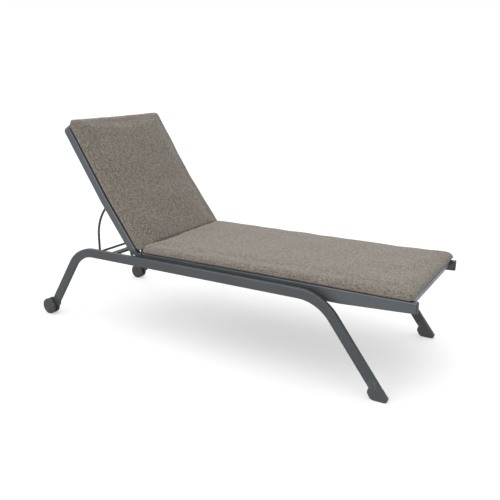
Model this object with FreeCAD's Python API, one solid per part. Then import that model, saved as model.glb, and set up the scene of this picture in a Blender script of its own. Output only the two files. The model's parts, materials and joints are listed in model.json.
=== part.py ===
"""Reclining sun lounger: aluminium side frames, hinged back on a rod prop, wheels at the head end.

Frame: X runs along the lounger towards the foot end, Y across it (+Y is the sitter's left), Z up.
The origin is on the ground under the middle of the lounger, with the back raised.
Millimetres throughout. Each piece is one solid, or one group of equal solids, in its own file.
"""
import FreeCAD, Part
import math
import os

# ---- driving dimensions ------------------------------------------------------------------

FRAME_WIDTH = 700.0          # over the outer faces of the two side frames
TUBE_DEPTH = 42.0            # side frame tube, seen from the side
TUBE_WIDTH = 20.0
TUBE_CORNER = 4.0
TUBE_WALL = 2.0
TUBE_AXIS_Z = 366.5          # height of the level stretch of the side frame

REAR_KNEE_X = -674.0         # where the level stretch and the rear leg would meet
REAR_LEG_ANGLE = 56.4        # degrees from the ground
REAR_BEND_R = 165.0
REAR_LEG_END_Z = 100.0
FRONT_KNEE_X = 592.0
FRONT_LEG_ANGLE = 53.5
FRONT_BEND_R = 185.0
FRONT_LEG_END_Z = 46.0
PLUG_PLAY = 0.2              # between a moulded plug and the tube it sits in
PLUG_DEPTH = 60.0
COLLAR = 12.0                # height of the rear plug's collar under the tube
HUB_BOSS_R = 15.0

CROSS_TUBE_X = (-545.0, -507.0)      # flat tube that carries the lowered back
CROSS_TUBE_Z = (348.6, 359.6)
FOOT_BAR_X = (906.0, 929.0)
FOOT_BAR_Z = (376.0, 399.6)
SEAT_TUBE_R = 12.5
SEAT_TUBE_Z = 365.0
THIN_WALL = 1.6

RAIL_OUTER_Y = 309.0         # seat and back rails, outer face
RAIL_WIDTH = 24.0
RAIL_DEPTH = 40.0
RAIL_CORNER = 7.0
RAIL_WALL = 2.2
SEAT_TOP_Z = 400.0
SEAT_RAIL_FRONT_X = 946.5
SEAT_RAIL_BELLY = 60.5       # depth of the seat rail at its deepest
SEAT_RAIL_FRONT_DEPTH = 45.0
CAP_THICKNESS = 4.5

HINGE_X = -352.5
HINGE_Z = 380.0
BACK_ANGLE = 53.6            # lower part of the back, degrees above level
BACK_KINK = 3.6              # extra lean of the upper part
BACK_KINK_AT = 295.0         # distance of the bend from the hinge
BACK_LENGTH = 692.0          # hinge to the top of the back frame
BACK_BEND_R = 600.0
BACK_RAIL_START = 24.0       # from the hinge to the end of the back rail
HEAD_CORNER_R = 14.0         # bend of the head bar's corners, on its centre line
LOWER_BAR_AT = (62.0, -6.0)  # along the back, and out of it
EYE_R = 20.0
EYE_CLEAR = 0.3              # between the eye and a cheek of the fork
CHEEK_THICKNESS = 4.4
CHEEK_R = 16.0
FORK_Z = (362.0, 398.0)
FORK_BODY = (22.5, 42.0)     # from the hinge, along the seat rail
FORK_TENON = 55.0
EYE_TENON = 50.0
PIVOT_R = 5.0
BUSH_WALL = 2.0

GROOVE_RISE = 12.0           # sling groove above the rail's centre line
GROOVE_INSET = 5.5           # groove centre from the rail's inner face
GROOVE_R = 3.3
SPLINE_R = 3.0
SLING_THICKNESS = 1.2
SLIT = 2.2
SLING_TO_SPLINE = 0.3
SLING_FRONT_X = 903.0

PROP_ROD_R = 5.5
PROP_LEG_Y = 270.0
PROP_FOOT_X = -611.0
PROP_FOOT_Z = 353.2
PROP_UPRIGHT = 76.0          # straight stretch above the foot
PROP_CURVE_R = 218.0
PROP_CURVE_TURN = 40.0
PROP_TIP = 46.0              # straight stretch after the curve
PROP_PIN_BEND_R = 6.0
PROP_BUSH_R = 9.5
PROP_BUSH_DEPTH = 12.0
PROP_RATIO = 1.87            # turn of the prop for each turn of the back
RACK_THICKNESS = 8.0
RACK_STOPS = (0.0, 13.0, 26.0, 40.0, 53.6)   # angles of the back that have a notch
RACK_OVERRUN = 22.0          # past the last notch at each end
RACK_BACK_RISE = -6.0
RACK_SCREW_INSET = 13.0
SCREW_R = 2.0

WHEEL_X = -911.0
WHEEL_R = 40.0
WHEEL_WIDTH = 18.0
TYRE_DEPTH = 4.0
TONGUE_THICKNESS = 8.0
AXLE_R = 4.0
WHEEL_GAP = 0.8              # between tongue and wheel
AXLE_SEAT = 12.6             # how far the axle goes into a wheel
WHEEL_HUB_R = 10.0
WHEEL_RECESS = 11.0

SEAT_CUSHION_THICKNESS = 40.0
BACK_CUSHION_THICKNESS = 52.0
CUSHION_CLEAR = 0.5
SEAT_CUSHION_FRONT_X = 935.0
SEAT_CUSHION_REAR_X = -302.5
SEAT_CUSHION_HALF = 318.0
BACK_CUSHION_FOOT_Z = 402.0  # height of the back cushion's foot, which is cut level
BACK_CUSHION_END = 699.0     # from the hinge, along the back
BACK_CUSHION_HALF = 312.0

SPACER_R = 10.0
BOLT_R = 4.0
BOLT_HEAD_R = 7.0
BOLT_HEAD = 4.4
BOLT_SOCKET_R = 2.6
BOLT_REACH = 12.0            # into the side frame's tube
NUT_WALL = 2.0
HOLE_PLAY = 0.1
BOLT_Z = 371.0
STATIONS = (-240.0, 130.0, 490.0)            # where the seat rails are bolted to the side frames
CROSS_TUBES = (-200.0, 170.0, 540.0)         # tubes between the two seat rails
FIT = 0.05                                   # radial clearance of a turning shaft

# ---- derived places ----------------------------------------------------------------------

FRAME_Y = FRAME_WIDTH / 2 - TUBE_WIDTH / 2   # centre plane of a side frame
FRAME_INNER_Y = FRAME_WIDTH / 2 - TUBE_WIDTH
RAIL_Y = RAIL_OUTER_Y - RAIL_WIDTH / 2       # centre plane of a rail
RAIL_INNER_Y = RAIL_OUTER_Y - RAIL_WIDTH
GROOVE_Y = RAIL_INNER_Y + GROOVE_INSET
RAIL_AXIS_Z = SEAT_TOP_Z - RAIL_DEPTH / 2
SLING_REACH = GROOVE_Y - GROOVE_R - SLING_TO_SPLINE
FORK_INNER_Y = RAIL_INNER_Y - EYE_CLEAR - CHEEK_THICKNESS
FORK_OUTER_Y = RAIL_OUTER_Y + EYE_CLEAR + CHEEK_THICKNESS
SIDES = (("left", 1.0), ("right", -1.0))
ACROSS = FreeCAD.Vector(0, 1, 0)
UP = FreeCAD.Vector(0, 0, 1)


def vec(x, y, z):
    return FreeCAD.Vector(x, y, z)


def save(name, shape):
    """Write one piece, and refuse a broken one."""
    if not shape.isValid() or shape.Volume <= 0:
        raise ValueError("bad solid: " + name)
    shape.exportStep(os.path.join("parts", name + ".step"))
    print(f"{name}: {len(shape.Solids)} solid(s), {shape.Volume / 1000:.1f} cm3")


def group(solids):
    return Part.makeCompound(solids)


def cylinder(radius, start, end):
    """A round bar from one point to another."""
    run = end.sub(start)
    return Part.makeCylinder(radius, run.Length, start, run)


def across(radius, x, z, y_from, y_to):
    """A round bar that lies across the lounger."""
    return cylinder(radius, vec(x, y_from, z), vec(x, y_to, z))


def block(x_from, x_to, y_from, y_to, z_from, z_to):
    corner = vec(x_from, min(y_from, y_to), z_from)
    return Part.makeBox(x_to - x_from, abs(y_to - y_from), z_to - z_from, corner)


def plate(points, y_from, y_to):
    """A flat plate: an outline of (x, z) points, extruded across the lounger."""
    low, high = min(y_from, y_to), max(y_from, y_to)
    corners = [vec(x, low, z) for x, z in points]
    face = Part.Face(Part.makePolygon(corners + corners[:1]))
    return face.extrude(vec(0, high - low, 0))


def round_along(solid, radius, wanted):
    """Fillet the edges that the test picks out."""
    return solid.makeFillet(radius, [edge for edge in solid.Edges if wanted(edge)])


def runs_along(edge):
    """True for an edge whose two ends share one Y, so it lies in a side view."""
    box = edge.BoundBox
    return box.YLength < 0.01 and box.DiagonalLength > 5.0


def runs_across(edge):
    box = edge.BoundBox
    return box.XLength < 0.01 and box.ZLength < 0.01


def points_along(edge):
    """True for a straight edge in line with the lounger."""
    box = edge.BoundBox
    return box.YLength < 0.01 and box.ZLength < 0.01


def lies_at(edge, y):
    """True for an edge in the plane that lies across the lounger at this Y."""
    box = edge.BoundBox
    return box.YLength < 0.01 and abs(box.YMin - y) < 0.01


def arc_path(points, radii):
    """Straight runs joined by tangent arcs; one radius for each inner point."""
    edges = []
    start = points[0]
    for before, corner, after, radius in zip(points, points[1:], points[2:], radii):
        back = before.sub(corner).normalize()
        ahead = after.sub(corner).normalize()
        half = back.getAngle(ahead) / 2
        reach = radius / math.tan(half)
        bisector = back.add(ahead).normalize()
        centre = corner.add(bisector.multiply(radius / math.sin(half)))
        first = corner.add(vec(*back).multiply(reach))
        last = corner.add(vec(*ahead).multiply(reach))
        middle = centre.add(corner.sub(centre).normalize().multiply(radius))
        edges.append(Part.LineSegment(start, first).toShape())
        edges.append(Part.Arc(first, middle, last).toShape())
        start = last
    edges.append(Part.LineSegment(start, points[-1]).toShape())
    return Part.Wire(edges)


def section(centre, direction, width, depth, corner):
    """A rounded rectangle, its width across the lounger and its depth square to the run."""
    width_axis = ACROSS
    depth_axis = direction.cross(ACROSS).normalize()
    reach_w, reach_d = width / 2, depth / 2
    flat_w, flat_d = reach_w - corner, reach_d - corner

    def at(w, d):
        return centre + width_axis * w + depth_axis * d

    diagonal = corner * math.sqrt(0.5)
    edges = []
    for sign_w, sign_d in ((1, 1), (-1, 1), (-1, -1), (1, -1)):
        side_point = at(sign_w * reach_w, sign_d * flat_d)
        end_point = at(sign_w * flat_w, sign_d * reach_d)
        middle = at(sign_w * (flat_w + diagonal), sign_d * (flat_d + diagonal))
        pair = (side_point, middle, end_point) if sign_w * sign_d > 0 else (end_point, middle, side_point)
        if edges:
            edges.append(Part.LineSegment(last, pair[0]).toShape())
        edges.append(Part.Arc(*pair).toShape())
        last = pair[2]
        if len(edges) == 1:
            opening = pair[0]
    edges.append(Part.LineSegment(last, opening).toShape())
    return Part.Wire(edges)


def sweep(profile, path):
    return path.makePipeShell([profile], True, True)


def round_sweep(radius, points, radii):
    """A round rod along a path."""
    path = arc_path(points, radii)
    circle = Part.Circle(points[0], points[1].sub(points[0]), radius).toShape()
    return sweep(Part.Wire(circle), path)


def tube_sweep(points, radii, width, depth, corner, wall):
    """A hollow bent tube with a rounded rectangular section."""
    path = arc_path(points, radii)
    direction = points[1].sub(points[0]).normalize()
    outer = sweep(section(points[0], direction, width, depth, corner), path)
    inner_corner = max(corner - wall, 1.0)
    inner = section(points[0], direction, width - 2 * wall, depth - 2 * wall, inner_corner)
    return outer.cut(sweep(inner, path))


# ---- the back's own directions -----------------------------------------------------------

def back_axes(lean):
    """Unit vectors up the back and out of its front, for a part that leans by this angle."""
    angle = math.radians(lean)
    up_back = vec(-math.cos(angle), 0, math.sin(angle))
    outward = vec(math.sin(angle), 0, math.cos(angle))
    return up_back, outward


LOWER_UP, LOWER_OUT = back_axes(BACK_ANGLE)
UPPER_UP, UPPER_OUT = back_axes(BACK_ANGLE + BACK_KINK)
HINGE = vec(HINGE_X, 0, HINGE_Z)
KINK = HINGE + LOWER_UP * BACK_KINK_AT


def on_back(distance, rise, y=0.0):
    """A point at a distance from the hinge along the back, and a rise out of its front."""
    if distance <= BACK_KINK_AT:
        point = HINGE + LOWER_UP * distance + LOWER_OUT * rise
    else:
        point = KINK + UPPER_UP * (distance - BACK_KINK_AT) + UPPER_OUT * rise
    return vec(point.x, y, point.z)


def back_corner(rise, y=0.0):
    """Where the two parts of the back meet, at a rise out of its front."""
    half = math.radians(BACK_KINK) / 2
    point = KINK + (LOWER_UP * -math.tan(half) + LOWER_OUT) * rise
    return vec(point.x, y, point.z)


def along_back(start, end, rise, y):
    """Three points of a run up the back, and the radius of its bend."""
    return [on_back(start, rise, y), back_corner(rise, y), on_back(end, rise, y)], [BACK_BEND_R + rise]


def back_slab(start, end, low, high, y_from, y_to):
    """A slab that follows the bend of the back, between two rises."""
    outline = [on_back(start, low), back_corner(low), on_back(end, low)]
    outline += [on_back(end, high), back_corner(high), on_back(start, high)]
    return plate([(point.x, point.z) for point in outline], y_from, y_to)


# ---- side frames, feet and cross tubes ---------------------------------------------------

def leg_point(knee_x, angle, z, sign):
    """A point on the centre line of a leg, at a height; sign is +1 at the foot end."""
    return knee_x + sign * (TUBE_AXIS_Z - z) / math.tan(math.radians(angle))


def side_frame(side):
    y = side * FRAME_Y
    rear = vec(leg_point(REAR_KNEE_X, REAR_LEG_ANGLE, REAR_LEG_END_Z, -1), y, REAR_LEG_END_Z)
    front = vec(leg_point(FRONT_KNEE_X, FRONT_LEG_ANGLE, 0.0, 1), y, 0.0)
    points = [rear, vec(REAR_KNEE_X, y, TUBE_AXIS_Z), vec(FRONT_KNEE_X, y, TUBE_AXIS_Z), front]
    tube = tube_sweep(points, [REAR_BEND_R, FRONT_BEND_R], TUBE_WIDTH, TUBE_DEPTH, TUBE_CORNER, TUBE_WALL)
    tube = tube.cut(block(500, 1100, y - 20, y + 20, -60, FRONT_LEG_END_Z))
    for x in STATIONS:
        tube = tube.cut(across(BOLT_R + NUT_WALL, x, BOLT_Z, side * (FRAME_INNER_Y - 1), side * FRAME_Y))
    return tube


def tube_plug(start, direction, length):
    """The part of a moulding that goes up into a side frame's tube."""
    width = TUBE_WIDTH - 2 * (TUBE_WALL + PLUG_PLAY)
    depth = TUBE_DEPTH - 2 * (TUBE_WALL + PLUG_PLAY)
    profile = section(start, direction, width, depth, 1.5)
    return Part.Face(profile).extrude(direction * length)


def front_foot(side):
    """Moulded shoe: it carries on from the leg, swells at the heel and stands flat."""
    angle = math.radians(FRONT_LEG_ANGLE)
    half = TUBE_DEPTH / 2 / math.sin(angle)
    y = side * FRAME_Y
    top = FRONT_LEG_END_Z
    centre = leg_point(FRONT_KNEE_X, FRONT_LEG_ANGLE, top, 1)
    lean = 1 / math.tan(angle)
    rear, front = centre - half, centre + half
    outline = [(rear, top), (rear - 4.0, top - 10.0), (rear - 5.0, top - 20.0), (rear + 1.0, 14.0)]
    outline += [(rear + 8.0, 4.0), (rear + 16.0, 0.0), (front + 14.0, 0.0), (front + 20.0, 3.0)]
    outline += [(front + (top - 14.0) * lean, 14.0), (front, top)]
    shoe = plate(outline, y - TUBE_WIDTH / 2, y + TUBE_WIDTH / 2)
    shoe = round_along(shoe, 2.5, lambda edge: runs_along(edge) and edge.BoundBox.ZMin < top - 1
                       and edge.BoundBox.ZMax > 0.5)
    direction = vec(-math.cos(angle), 0, math.sin(angle))
    tenon = tube_plug(vec(centre, y, top) - direction * 14.0, direction, PLUG_DEPTH + 10.0)
    keep = block(500, 1100, y - 20, y + 20, top - 4.0, top + 80.0)
    return shoe.fuse(tenon.common(keep)).removeSplitter()


def leg_plug(side):
    """Moulded plug in the end of the rear leg, with a tongue that carries the wheel axle."""
    angle = math.radians(REAR_LEG_ANGLE)
    y = side * FRAME_Y
    end_x = leg_point(REAR_KNEE_X, REAR_LEG_ANGLE, REAR_LEG_END_Z, -1)
    end = vec(end_x, y, REAR_LEG_END_Z)
    direction = vec(math.cos(angle), 0, math.sin(angle))
    square = vec(math.sin(angle), 0, -math.cos(angle))
    tenon = tube_plug(end - direction * 0.5, direction, PLUG_DEPTH + 0.5)
    collar = section(end - direction * COLLAR, direction, TUBE_WIDTH, TUBE_DEPTH, TUBE_CORNER)
    collar = Part.Face(collar).extrude(direction * COLLAR)
    front = end + square * (TUBE_DEPTH / 2 - 1.0) - direction * COLLAR / 2
    rear = end - square * (TUBE_DEPTH / 2 - 1.0) - direction * COLLAR / 2
    hub = vec(WHEEL_X, y, WHEEL_R)
    reach = HUB_BOSS_R
    outline = [(front.x, front.z), (front.x - 8.0, front.z - 30.0), (hub.x + reach, hub.z - 4.0)]
    outline += [(hub.x, hub.z - reach), (hub.x - reach, hub.z), (hub.x - 9.0, hub.z + 12.0)]
    outline += [(rear.x, rear.z)]
    half = TONGUE_THICKNESS / 2
    tongue = plate(outline, y - half, y + half)
    boss = across(reach, hub.x, hub.z, y - half, y + half)
    plug = tenon.fuse([collar, tongue, boss]).removeSplitter()
    return plug.cut(across(AXLE_R + FIT, hub.x, hub.z, y - 20, y + 20))


def cross_bar(x_range, z_range, reach, corner):
    """A hollow bar of rounded rectangular section, across the lounger."""
    wall = TUBE_WALL
    outer = block(x_range[0], x_range[1], -reach, reach, z_range[0], z_range[1])
    inner = block(x_range[0] + wall, x_range[1] - wall, -reach, reach,
                  z_range[0] + wall, z_range[1] - wall)
    outer = round_along(outer, corner, runs_across)
    return outer.cut(round_along(inner, corner - wall, runs_across))


def cross_round_tube(radius, x, z):
    """A round tube between the two seat rails or the two back rails."""
    outer = across(radius, x, z, -RAIL_INNER_Y, RAIL_INNER_Y)
    return outer.cut(across(radius - THIN_WALL, x, z, -RAIL_INNER_Y, RAIL_INNER_Y))


def frame_cross_tube():
    """Flat tube between the side frames; the lowered back rests on it."""
    return cross_bar(CROSS_TUBE_X, CROSS_TUBE_Z, FRAME_INNER_Y, 5.0)


# ---- seat --------------------------------------------------------------------------------

def seat_rail_outline(inset):
    """Side view of a seat rail: level on top, deepest near the front legs, slender in front."""
    top = SEAT_TOP_Z - inset
    rear = HINGE_X + FORK_BODY[1]
    front = SEAT_RAIL_FRONT_X
    low_rear = SEAT_TOP_Z - RAIL_DEPTH + inset
    low_mid = SEAT_TOP_Z - SEAT_RAIL_BELLY + inset
    low_front = SEAT_TOP_Z - SEAT_RAIL_FRONT_DEPTH + inset
    return [(rear, top), (rear, low_rear), (rear + 110, low_rear), (350, low_mid),
            (655, low_mid), (front, low_front), (front, top)]


def seat_rail(side):
    """Extruded side rail of the seat, hollow, with a groove for the sling's edge."""
    outer = plate(seat_rail_outline(0), side * RAIL_INNER_Y, side * RAIL_OUTER_Y)
    outer = round_along(outer, RAIL_CORNER, runs_along_rail)
    hollow = plate(seat_rail_outline(RAIL_WALL), side * (RAIL_INNER_Y + RAIL_WALL),
                   side * (RAIL_OUTER_Y - RAIL_WALL))
    hollow = round_along(hollow, RAIL_CORNER - RAIL_WALL, runs_along_rail)
    z = RAIL_AXIS_Z + GROOVE_RISE
    start = vec(HINGE_X, side * GROOVE_Y, z)
    end = vec(SEAT_RAIL_FRONT_X + 10, side * GROOVE_Y, z)
    hollow = hollow.cut(cylinder(GROOVE_INSET, start, end))
    rail = outer.cut(hollow)
    rail = rail.cut(cylinder(GROOVE_R, start, end))
    rail = rail.cut(block(start.x, end.x, side * (RAIL_INNER_Y - 1), side * GROOVE_Y,
                          z - SLIT / 2, z + SLIT / 2))
    for x in STATIONS:
        rail = rail.cut(across(BOLT_R + HOLE_PLAY, x, BOLT_Z, side * (RAIL_INNER_Y - 5), side * FRAME_Y))
    return rail


def runs_along_rail(edge):
    """True for the long edges of a rail's extruded outline."""
    box = edge.BoundBox
    return box.YLength < 0.01 and box.XLength > 60.0


def seat_rail_cap(side):
    """Moulded end cap: a rounded face and a plug that sits in the rail."""
    front_depth = SEAT_RAIL_FRONT_DEPTH
    x = SEAT_RAIL_FRONT_X
    face = block(x, x + CAP_THICKNESS, side * RAIL_INNER_Y, side * RAIL_OUTER_Y,
                 SEAT_TOP_Z - front_depth, SEAT_TOP_Z)
    face = round_along(face, RAIL_CORNER, points_along)
    front_edges = [e for e in face.Edges if e.BoundBox.XMin > x + CAP_THICKNESS - 0.01]
    face = face.makeFillet(2.0, front_edges)
    play = RAIL_WALL + 0.3
    plug = block(x - 22, x + 1, side * (RAIL_INNER_Y + play), side * (RAIL_OUTER_Y - play),
                 SEAT_TOP_Z - front_depth + play + 2.0, RAIL_AXIS_Z + GROOVE_RISE - GROOVE_INSET - 0.4)
    plug = round_along(plug, RAIL_CORNER - RAIL_WALL, points_along)
    return face.fuse(plug).removeSplitter()


def foot_bar():
    """Bar across the foot end, between the two seat rails."""
    return cross_bar(FOOT_BAR_X, FOOT_BAR_Z, RAIL_INNER_Y, 4.0)


def rail_spacers():
    solids = []
    for side in (1.0, -1.0):
        for x in STATIONS:
            ring = across(SPACER_R, x, BOLT_Z, side * RAIL_OUTER_Y, side * FRAME_INNER_Y)
            bore = across(BOLT_R + HOLE_PLAY, x, BOLT_Z, side * RAIL_Y, side * FRAME_Y)
            solids.append(ring.cut(bore))
    return group(solids)


def frame_bolts():
    """Button-head bolts, from inside the seat rail into nuts in the side frame's tube."""
    solids = []
    for side in (1.0, -1.0):
        for x in STATIONS:
            top = RAIL_INNER_Y - BOLT_HEAD
            shank = across(BOLT_R, x, BOLT_Z, side * RAIL_INNER_Y, side * (FRAME_INNER_Y + BOLT_REACH))
            head = across(BOLT_HEAD_R, x, BOLT_Z, side * top, side * RAIL_INNER_Y)
            head = round_along(head, 2.5, lambda edge: lies_at(edge, side * top))
            socket = across(BOLT_SOCKET_R, x, BOLT_Z, side * (top - 1), side * (RAIL_INNER_Y - 1.8))
            solids.append(shank.fuse(head).removeSplitter().cut(socket))
    return group(solids)


def rivet_nuts():
    solids = []
    for side in (1.0, -1.0):
        for x in STATIONS:
            end = side * (FRAME_INNER_Y + BOLT_REACH + 1)
            nut = across(BOLT_R + NUT_WALL, x, BOLT_Z, side * FRAME_INNER_Y, end)
            solids.append(nut.cut(across(BOLT_R, x, BOLT_Z, side * RAIL_OUTER_Y, end + side)))
    return group(solids)


def seat_sling():
    """Sling cloth, stretched from groove to groove."""
    z = RAIL_AXIS_Z + GROOVE_RISE
    half = SLING_THICKNESS / 2
    return block(HINGE_X + 60, SLING_FRONT_X, -SLING_REACH, SLING_REACH, z - half, z + half)


def seat_splines():
    """Plastic rods that hold the sling's edges in the grooves."""
    z = RAIL_AXIS_Z + GROOVE_RISE
    solids = []
    for side in (1.0, -1.0):
        y = side * GROOVE_Y
        solids.append(cylinder(SPLINE_R, vec(HINGE_X + 60, y, z), vec(SLING_FRONT_X, y, z)))
    return group(solids)


def seat_cushion():
    low = SEAT_TOP_Z + CUSHION_CLEAR
    pad = block(SEAT_CUSHION_REAR_X, SEAT_CUSHION_FRONT_X, -SEAT_CUSHION_HALF, SEAT_CUSHION_HALF,
                low, low + SEAT_CUSHION_THICKNESS)
    pad = round_along(pad, 30.0, lambda edge: edge.BoundBox.ZLength > 5.0)
    return round_along(pad, 10.0, lambda edge: edge.BoundBox.ZLength < 0.01)


# ---- hinge -------------------------------------------------------------------------------

def hinge_fork(side):
    """Cast fork on the end of the seat rail; the back's eye turns between its cheeks."""
    inner, outer = FORK_INNER_Y, FORK_OUTER_Y
    body_from, body_to = HINGE_X + FORK_BODY[0], HINGE_X + FORK_BODY[1]
    body = block(body_from, body_to, side * inner, side * outer, FORK_Z[0], FORK_Z[1])
    body = round_along(body, 3.0, points_along)
    play = RAIL_WALL + PLUG_PLAY
    tenon = block(body_to - 1, body_to + FORK_TENON, side * (RAIL_INNER_Y + play),
                  side * (RAIL_OUTER_Y - play), SEAT_TOP_Z - RAIL_DEPTH + play,
                  RAIL_AXIS_Z + GROOVE_RISE - GROOVE_INSET - 0.3)
    pieces = [round_along(tenon, RAIL_CORNER - RAIL_WALL + PLUG_PLAY, points_along)]
    for y_from, y_to in ((inner, RAIL_INNER_Y - EYE_CLEAR), (RAIL_OUTER_Y + EYE_CLEAR, outer)):
        cheek = block(HINGE_X, body_from + 2, side * y_from, side * y_to,
                      HINGE_Z - CHEEK_R, HINGE_Z + CHEEK_R)
        round_end = across(CHEEK_R, HINGE_X, HINGE_Z, side * y_from, side * y_to)
        pieces.append(cheek.fuse(round_end))
    fork = body.fuse(pieces).removeSplitter()
    return fork.cut(across(PIVOT_R, HINGE_X, HINGE_Z, side * (inner - 10), side * (outer + 10)))


def pivot_bolt(side):
    """Shoulder bolt: head inside, shank through fork and eye, domed nut outside."""
    inner, outer = FORK_INNER_Y, FORK_OUTER_Y
    shank = across(PIVOT_R, HINGE_X, HINGE_Z, side * (inner - 1), side * outer)
    head = across(9.0, HINGE_X, HINGE_Z, side * (inner - 5), side * inner)
    nut = across(8.0, HINGE_X, HINGE_Z, side * outer, side * (outer + 6))
    nut = round_along(nut, 3.0, lambda edge: lies_at(edge, side * (outer + 6)))
    return shank.fuse([head, nut]).removeSplitter()


def hinge_eye(side):
    """Cast eye plugged into the foot of the back rail."""
    eye = across(EYE_R, HINGE_X, HINGE_Z, side * RAIL_INNER_Y, side * RAIL_OUTER_Y)
    neck = section(vec(HINGE_X, side * RAIL_Y, HINGE_Z), LOWER_UP, RAIL_WIDTH, RAIL_DEPTH, 0.6)
    neck = Part.Face(neck).extrude(LOWER_UP * BACK_RAIL_START)
    play = RAIL_WALL + PLUG_PLAY
    below_groove = GROOVE_RISE - GROOVE_INSET + PLUG_PLAY
    depth = RAIL_DEPTH / 2 - play + below_groove - 2 * PLUG_PLAY - 0.3
    start = on_back(BACK_RAIL_START - 1.0, depth / 2 + play - RAIL_DEPTH / 2, side * RAIL_Y)
    tenon = section(start, LOWER_UP, RAIL_WIDTH - 2 * play, depth, RAIL_CORNER - RAIL_WALL)
    tenon = Part.Face(tenon).extrude(LOWER_UP * EYE_TENON)
    solid = eye.fuse([neck, tenon]).removeSplitter()
    bore = across(PIVOT_R + BUSH_WALL, HINGE_X, HINGE_Z, side * FORK_INNER_Y, side * FORK_OUTER_Y)
    return solid.cut(bore)


def pivot_bush(side):
    """Plastic sleeve in the eye, turning on the bolt."""
    inner, outer = RAIL_INNER_Y - EYE_CLEAR / 3, RAIL_OUTER_Y + EYE_CLEAR / 3
    ring = across(PIVOT_R + BUSH_WALL, HINGE_X, HINGE_Z, side * inner, side * outer)
    return ring.cut(across(PIVOT_R + FIT, HINGE_X, HINGE_Z, side * (inner - 1), side * (outer + 1)))


# ---- back --------------------------------------------------------------------------------

def back_rail(side):
    """Side rail of the back, slightly bent, hollow, with a groove for the sling's edge."""
    y = side * RAIL_Y
    end = BACK_LENGTH - RAIL_DEPTH / 2
    points, radii = along_back(BACK_RAIL_START, end - 10.0, 0.0, y)
    outer = sweep(section(points[0], LOWER_UP, RAIL_WIDTH, RAIL_DEPTH, RAIL_CORNER), arc_path(points, radii))
    wall = 2 * RAIL_WALL
    inner = section(points[0], LOWER_UP, RAIL_WIDTH - wall, RAIL_DEPTH - wall, RAIL_CORNER - RAIL_WALL)
    hollow = sweep(inner, arc_path(points, radii))
    groove_points, groove_radii = along_back(4.0, end + 10.0, GROOVE_RISE, side * GROOVE_Y)
    hollow = hollow.cut(round_sweep(GROOVE_INSET, groove_points, groove_radii))
    rail = outer.cut(hollow)
    rail = rail.cut(round_sweep(GROOVE_R, groove_points, groove_radii))
    slit = back_slab(4.0, end + 10.0, GROOVE_RISE - SLIT / 2, GROOVE_RISE + SLIT / 2,
                     side * (RAIL_INNER_Y - 1), side * GROOVE_Y)
    return rail.cut(slit)


def back_top_bar():
    """Head bar, with round corners that run down into the side rails."""
    end = BACK_LENGTH - RAIL_DEPTH / 2
    start = on_back(end - 10.0, 0, -RAIL_Y)
    left_top = on_back(BACK_LENGTH - RAIL_WIDTH / 2, 0, -RAIL_Y)
    right_top = on_back(BACK_LENGTH - RAIL_WIDTH / 2, 0, RAIL_Y)
    finish = on_back(end - 10.0, 0, RAIL_Y)
    path = arc_path([start, left_top, right_top, finish], [HEAD_CORNER_R, HEAD_CORNER_R])
    outer = sweep(section(start, UPPER_UP, RAIL_WIDTH, RAIL_DEPTH, RAIL_CORNER), path)
    wall = 2 * RAIL_WALL
    inner = section(start, UPPER_UP, RAIL_WIDTH - wall, RAIL_DEPTH - wall, RAIL_CORNER - RAIL_WALL)
    return outer.cut(sweep(inner, path))


def back_lower_bar():
    """Round tube across the foot of the back, behind the sling."""
    place = on_back(*LOWER_BAR_AT)
    return cross_round_tube(9.0, place.x, place.z)


def back_sling():
    half = SLING_THICKNESS / 2
    return back_slab(40.0, BACK_LENGTH - RAIL_WIDTH - 8.0, GROOVE_RISE - half, GROOVE_RISE + half,
                     -SLING_REACH, SLING_REACH)


def back_splines():
    solids = []
    for side in (1.0, -1.0):
        points, radii = along_back(40.0, BACK_LENGTH - RAIL_WIDTH - 10.0, GROOVE_RISE, side * GROOVE_Y)
        solids.append(round_sweep(SPLINE_R, points, radii))
    return group(solids)


def back_cushion():
    """Pad on the front of the back; its foot is cut level over the seat and square to its cushion."""
    low = RAIL_DEPTH / 2 + CUSHION_CLEAR
    short = 2 * BACK_CUSHION_THICKNESS
    pad = back_slab(-short, BACK_CUSHION_END, low, low + BACK_CUSHION_THICKNESS,
                    -BACK_CUSHION_HALF, BACK_CUSHION_HALF)
    pad = round_along(pad, 24.0, lambda edge: edge.BoundBox.YLength < 0.01
                      and edge.BoundBox.DiagonalLength < short)
    broad = [face for face in pad.Faces if face.Area > 30000.0]
    rim = []
    for edge in pad.Edges:
        touching = [face for face in broad if any(edge.isSame(other) for other in face.Edges)]
        if len(touching) == 1:
            rim.append(edge)
    pad = pad.makeFillet(9.0, rim)
    reach = BACK_CUSHION_HALF + 1
    below = block(-600.0, 0.0, -reach, reach, 200.0, BACK_CUSHION_FOOT_Z)
    ahead = block(SEAT_CUSHION_REAR_X - CUSHION_CLEAR, 0.0, -reach, reach, 200.0, 500.0)
    return pad.cut(below).cut(ahead)


# ---- prop --------------------------------------------------------------------------------

def prop_route(y):
    """Centre line of a prop leg: up from its foot, curving forward, straight to its tip."""
    foot = vec(PROP_FOOT_X, y, PROP_FOOT_Z)
    turn = math.radians(PROP_CURVE_TURN)
    reach = PROP_CURVE_R * math.tan(turn / 2)
    bend = foot + UP * (PROP_UPRIGHT + reach)
    tip = bend + vec(math.sin(turn), 0, math.cos(turn)) * (reach + PROP_TIP)
    return foot, bend, tip


def prop_leg(side):
    """Bent rod with its tip turned outwards, to sit in the rack."""
    foot, bend, tip = prop_route(side * PROP_LEG_Y)
    pin_end = vec(tip.x, side * (RAIL_INNER_Y - 0.6), tip.z)
    rod = round_sweep(PROP_ROD_R, [foot, bend, tip, pin_end], [PROP_CURVE_R, PROP_PIN_BEND_R])
    return rod.cut(across(PROP_ROD_R, foot.x, foot.z, -FRAME_Y, FRAME_Y))


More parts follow.
